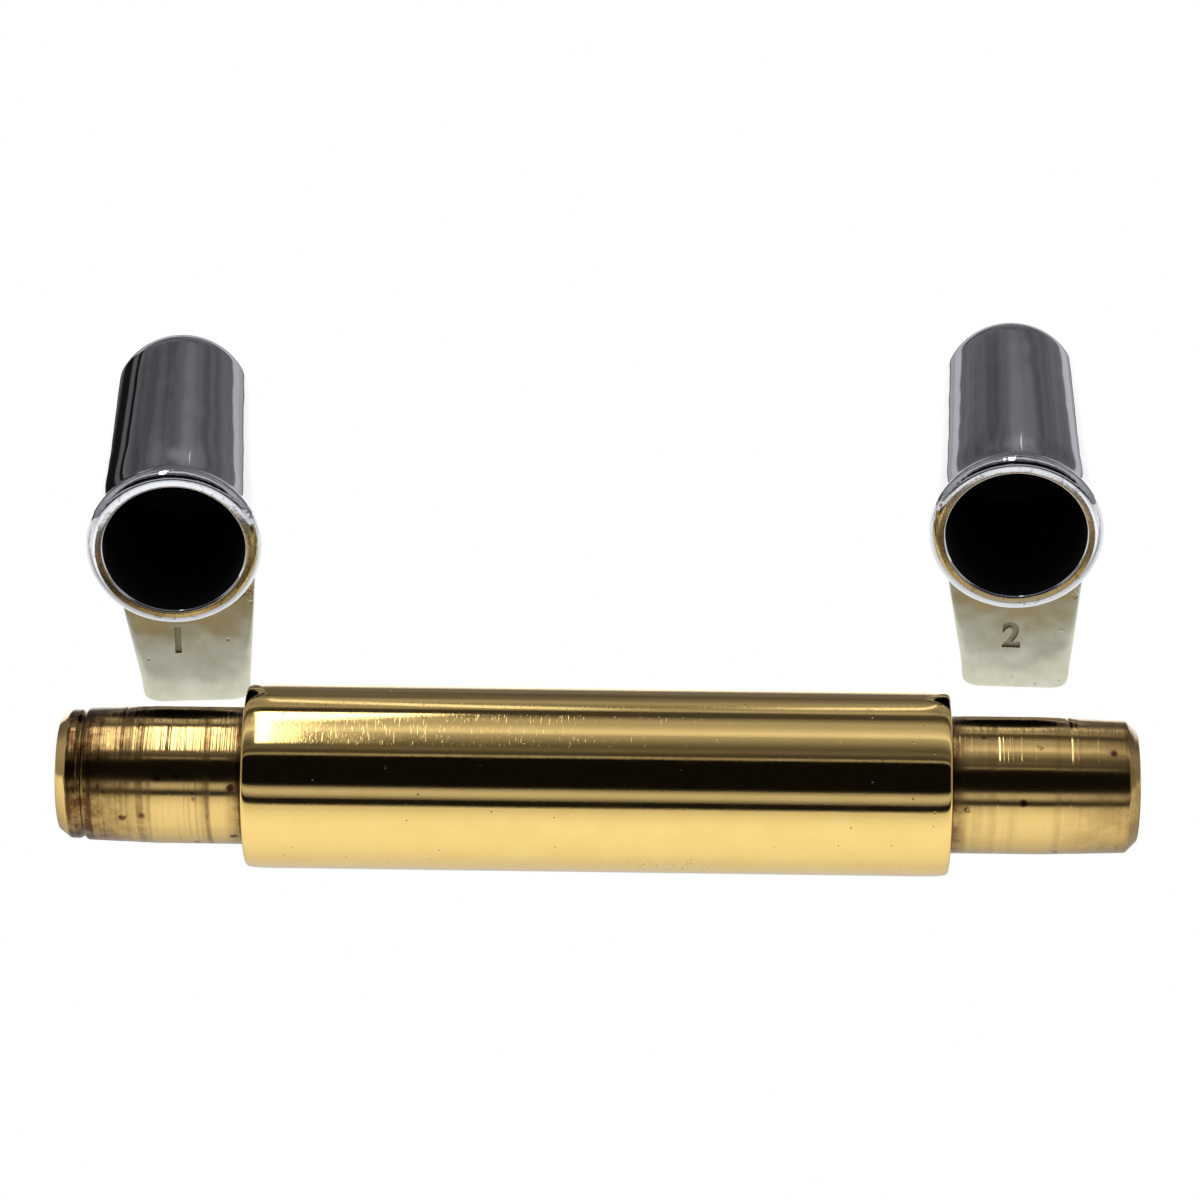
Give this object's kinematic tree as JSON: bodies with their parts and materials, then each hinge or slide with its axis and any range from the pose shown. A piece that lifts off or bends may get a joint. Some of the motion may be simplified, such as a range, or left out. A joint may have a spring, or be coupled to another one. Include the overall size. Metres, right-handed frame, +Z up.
{
  "type": "bar pull handle",
  "caption": "Bar pull handle taken apart: a turned brass bar with a spigot at each end, and the chromed post sockets that carry it on their feet.",
  "frame": {"origin": "on the surface that the pieces stand on, under the middle of their overall box", "axes": "+X along the bar towards its plain right tip, +Y back from the bar towards the posts, +Z up from the feet"},
  "size_m": [0.1482, 0.0994, 0.0454],
  "materials": {
    "post_chrome": "polished chrome plate",
    "bar_brass": "turned and polished"
  },
  "bodies": {
    "posts": {"post_left": "post_chrome", "post_right": "post_chrome"},
    "bar": {"grip_bar": "bar_brass"}
  },
  "joints": [
    {"name": "bar_turn", "type": "hinge", "parent": "posts", "child": "bar", "pos_m": [0, -0.03704, 0.0127], "axis": [1, 0, 0], "continuous": true}
  ]
}
